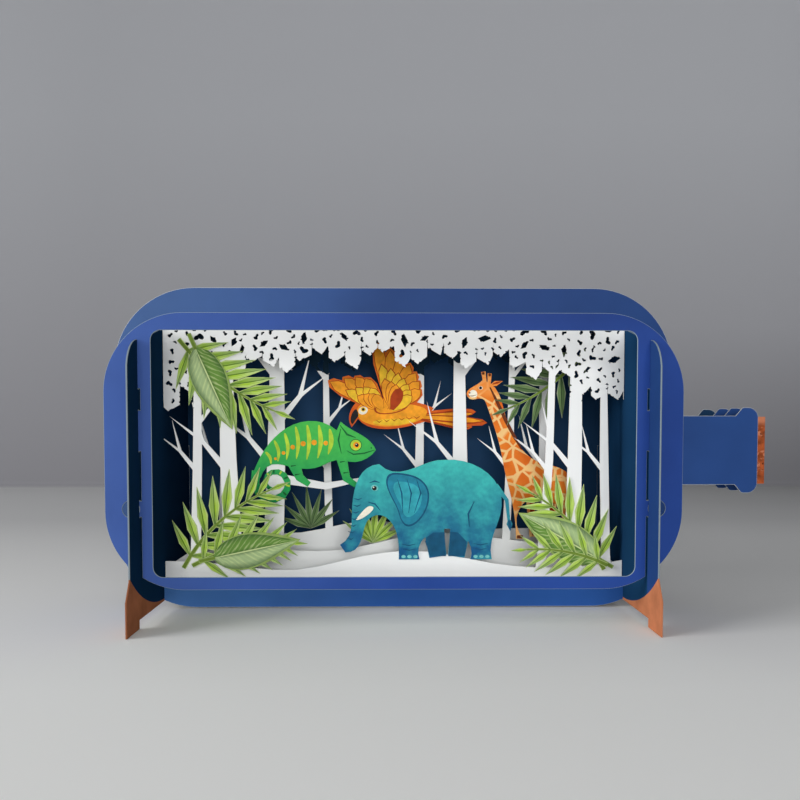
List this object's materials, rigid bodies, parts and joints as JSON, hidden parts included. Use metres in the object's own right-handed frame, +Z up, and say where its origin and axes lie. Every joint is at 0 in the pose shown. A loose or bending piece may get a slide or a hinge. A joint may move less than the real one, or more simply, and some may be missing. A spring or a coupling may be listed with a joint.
{
  "type": "greeting card",
  "caption": "Pop-out greeting card shaped like a bottle lying on its side, cut from slotted card layers with a paper forest and animals inside.",
  "frame": {"origin": "middle of the footprint, on the surface the feet stand on", "axes": "+X along the bottle to its cork, +Y away from the reader, +Z up"},
  "size_m": [0.2182, 0.0738, 0.1073],
  "materials": {
    "blue_card": "printed blue card, slight sheen",
    "navy_card": "printed navy card, slight sheen",
    "white_card": "uncoated white card",
    "cork_print": "card printed like speckled cork",
    "teal_print": "card printed teal",
    "orange_print": "card printed orange",
    "green_print": "card printed bright green",
    "leaf_print": "card printed as green leaves",
    "dark_leaf_print": "card printed as dark leaves"
  },
  "bodies": {
    "root": {"front_frame": "blue_card", "side_rib_left": "blue_card", "side_rib_right": "blue_card", "bottle_layer_front": "blue_card", "bottle_layer_middle": "blue_card", "bottle_layer_rear": "blue_card", "back_panel": "navy_card", "cork": "cork_print", "forest_front": "white_card", "forest_middle": "white_card", "forest_rear": "white_card", "elephant": "teal_print", "giraffe": "orange_print", "chameleon": "green_print", "flying_parrot": "orange_print", "palm_low_left": "leaf_print", "palm_low_left_flat": "leaf_print", "broad_leaf_low_left": "leaf_print", "palm_low_right": "leaf_print", "broad_leaf_low_right": "leaf_print", "palm_low_right_flat": "leaf_print", "palm_top_left": "leaf_print", "broad_leaf_top_left": "leaf_print", "palm_top_right": "dark_leaf_print", "fern_middle": "leaf_print", "fern_rear": "dark_leaf_print"}
  },
  "joints": []
}
